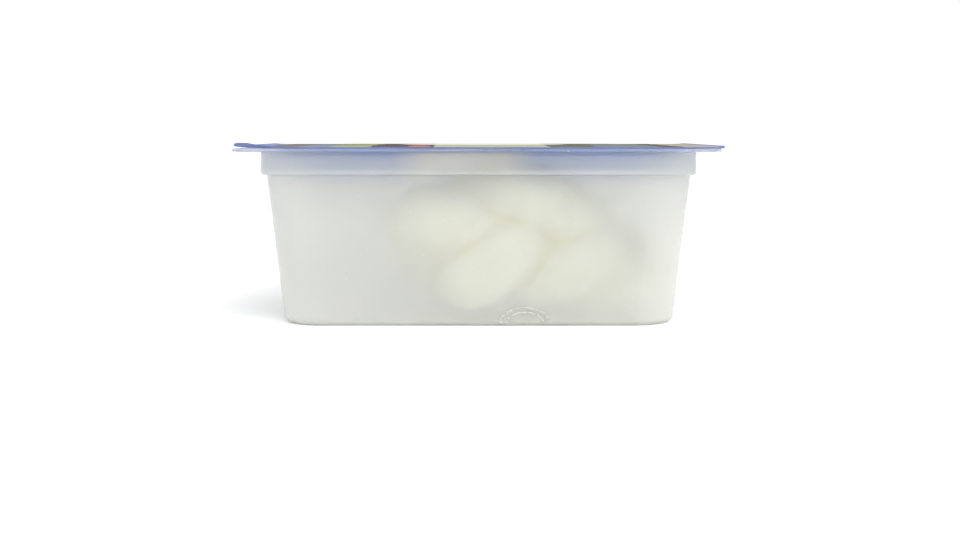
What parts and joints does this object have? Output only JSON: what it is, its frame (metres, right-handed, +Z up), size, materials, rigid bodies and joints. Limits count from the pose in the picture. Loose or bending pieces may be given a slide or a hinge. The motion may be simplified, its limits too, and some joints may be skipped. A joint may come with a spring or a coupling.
{
  "type": "mozzarella braid in a sealed tub of brine",
  "caption": "Plaited mozzarella in brine, seen through the frosted wall of its rectangular tub, which is shut with a blue peel-off film.",
  "frame": {"origin": "on the surface that the tub stands on, under the middle of the pack's outline", "axes": "+X along the long side, to the right of someone who faces the front; +Y from the front to the back; +Z up"},
  "size_m": [0.188, 0.137, 0.0728],
  "materials": {
    "frosted_plastic": "frosted, see-through",
    "film_blue": "printed film, blue below",
    "cheese": "moist cream-white fresh cheese",
    "brine": "milky brine round the braid"
  },
  "bodies": {
    "root": {"tub": "frosted_plastic", "lid_film": "film_blue", "braid": "cheese"}
  },
  "joints": []
}
